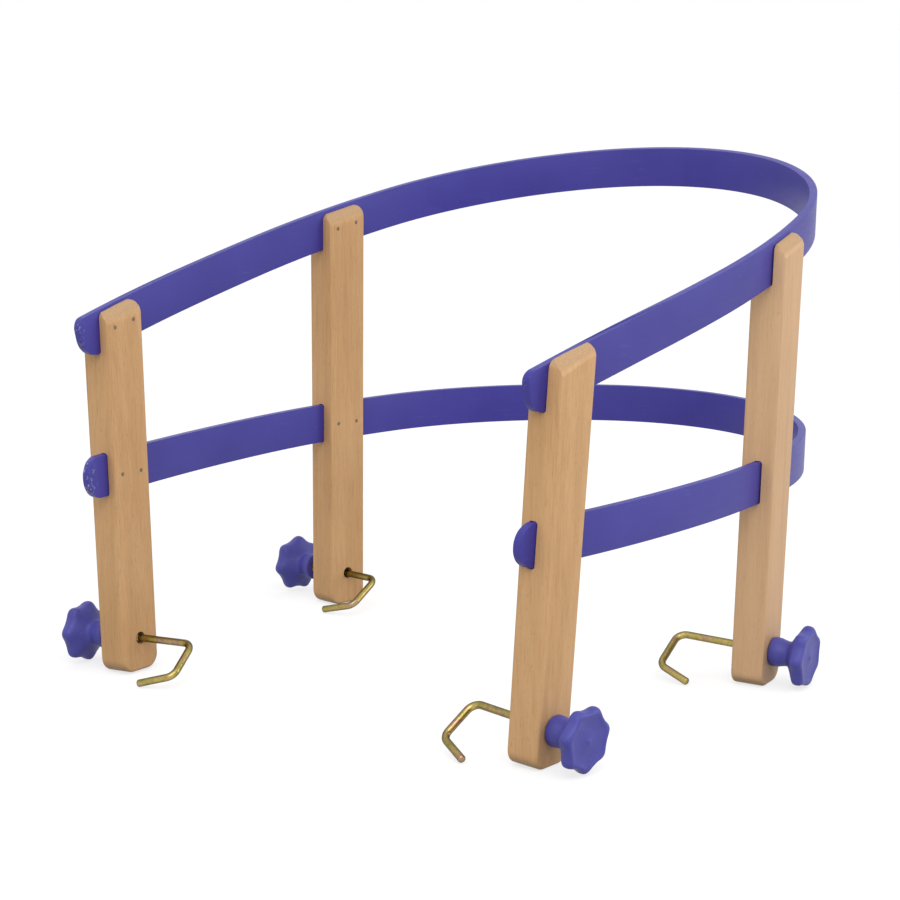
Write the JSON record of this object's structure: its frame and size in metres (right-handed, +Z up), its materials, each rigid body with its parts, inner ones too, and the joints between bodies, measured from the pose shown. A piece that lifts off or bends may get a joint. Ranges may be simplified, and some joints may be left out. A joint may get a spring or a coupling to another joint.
{
  "type": "sledge backrest",
  "caption": "Clamp-on sledge backrest: bent plastic bands carried in slotted beech posts, fastened by hook bolts with star knobs.",
  "frame": {"origin": "on the floor, at the middle of the four posts", "axes": "+Z up, +Y towards the closed end of the bands, +X to the right seen from the open end"},
  "size_m": [0.4436, 0.4587, 0.3265],
  "materials": {
    "beech": "oiled beech, planed, satin",
    "band_plastic": "violet-blue, fine matt",
    "knob_plastic": "violet-blue, moulded, slightly worn",
    "zinc_bolt": "yellow zinc plated wire",
    "brad_steel": "bright wire brad",
    "brass_insert": "turned"
  },
  "bodies": {
    "frame": {"upper_band": "band_plastic", "lower_band": "band_plastic", "front_left_post": "beech", "front_left_brads": "brad_steel", "rear_left_post": "beech", "rear_left_brads": "brad_steel", "front_right_post": "beech", "front_right_brads": "brad_steel", "rear_right_post": "beech", "rear_right_brads": "brad_steel"},
    "front_left_hook": {"front_left_hook_bolt": "zinc_bolt"},
    "front_left_carrier": {"front_left_insert": "brass_insert"},
    "front_left_knob": {"front_left_knob": "knob_plastic"},
    "rear_left_hook": {"rear_left_hook_bolt": "zinc_bolt"},
    "rear_left_carrier": {"rear_left_insert": "brass_insert"},
    "rear_left_knob": {"rear_left_knob": "knob_plastic"},
    "front_right_hook": {"front_right_hook_bolt": "zinc_bolt"},
    "front_right_carrier": {"front_right_insert": "brass_insert"},
    "front_right_knob": {"front_right_knob": "knob_plastic"},
    "rear_right_hook": {"rear_right_hook_bolt": "zinc_bolt"},
    "rear_right_carrier": {"rear_right_insert": "brass_insert"},
    "rear_right_knob": {"rear_right_knob": "knob_plastic"}
  },
  "joints": [
    {"name": "front_left_hook_swing", "type": "hinge", "parent": "frame", "child": "front_left_hook", "pos_m": [-0.17557, -0.11302, 0.0214], "axis": [-0.9945, -0.0957, -0.0437], "continuous": true},
    {"name": "front_left_knob_travel", "type": "slide", "parent": "front_left_hook", "child": "front_left_carrier", "axis": [-0.9945, -0.0957, -0.0437], "range_m": [-0.00401, 0.00281]},
    {"name": "front_left_knob_turn", "type": "hinge", "parent": "front_left_carrier", "child": "front_left_knob", "pos_m": [-0.18079, -0.11352, 0.02117], "axis": [-0.9945, -0.0957, -0.0437], "range_deg": [-1800, 1260]},
    {"name": "rear_left_hook_swing", "type": "hinge", "parent": "frame", "child": "rear_left_hook", "pos_m": [-0.18604, 0.11453, 0.0214], "axis": [-0.9873, 0.1564, -0.0279], "continuous": true},
    {"name": "rear_left_knob_travel", "type": "slide", "parent": "rear_left_hook", "child": "rear_left_carrier", "axis": [-0.9873, 0.1564, -0.0279], "range_m": [-0.01281, 0.00641]},
    {"name": "rear_left_knob_turn", "type": "hinge", "parent": "rear_left_carrier", "child": "rear_left_knob", "pos_m": [-0.1996, 0.11668, 0.02102], "axis": [-0.9873, 0.1564, -0.0279], "range_deg": [-5760, 2880]},
    {"name": "front_right_hook_swing", "type": "hinge", "parent": "frame", "child": "front_right_hook", "pos_m": [0.17563, -0.113, 0.0225], "axis": [0.9938, -0.0956, -0.0576], "continuous": true},
    {"name": "front_right_knob_travel", "type": "slide", "parent": "front_right_hook", "child": "front_right_carrier", "axis": [0.9938, -0.0956, -0.0576], "range_m": [-0.00001, 0.00881]},
    {"name": "front_right_knob_turn", "type": "hinge", "parent": "front_right_carrier", "child": "front_right_knob", "pos_m": [0.17666, -0.1131, 0.02244], "axis": [0.9938, -0.0956, -0.0576], "range_deg": [0, 3960]},
    {"name": "rear_right_hook_swing", "type": "hinge", "parent": "frame", "child": "rear_right_hook", "pos_m": [0.18634, 0.11453, 0.0215], "axis": [0.9863, 0.1562, -0.0525], "continuous": true},
    {"name": "rear_right_knob_travel", "type": "slide", "parent": "rear_right_hook", "child": "rear_right_carrier", "axis": [0.9863, 0.1562, -0.0525], "range_m": [-0.00001, 0.00641]},
    {"name": "rear_right_knob_turn", "type": "hinge", "parent": "rear_right_carrier", "child": "rear_right_knob", "pos_m": [0.18687, 0.11462, 0.02147], "axis": [0.9863, 0.1562, -0.0525], "range_deg": [0, 2880]}
  ],
  "couplings": [
    {"joint": "front_left_knob_travel", "follows": "front_left_knob_turn", "m_per_rad": 0.00012732},
    {"joint": "rear_left_knob_travel", "follows": "rear_left_knob_turn", "m_per_rad": 0.00012732},
    {"joint": "front_right_knob_travel", "follows": "front_right_knob_turn", "m_per_rad": 0.00012732},
    {"joint": "rear_right_knob_travel", "follows": "rear_right_knob_turn", "m_per_rad": 0.00012732}
  ]
}
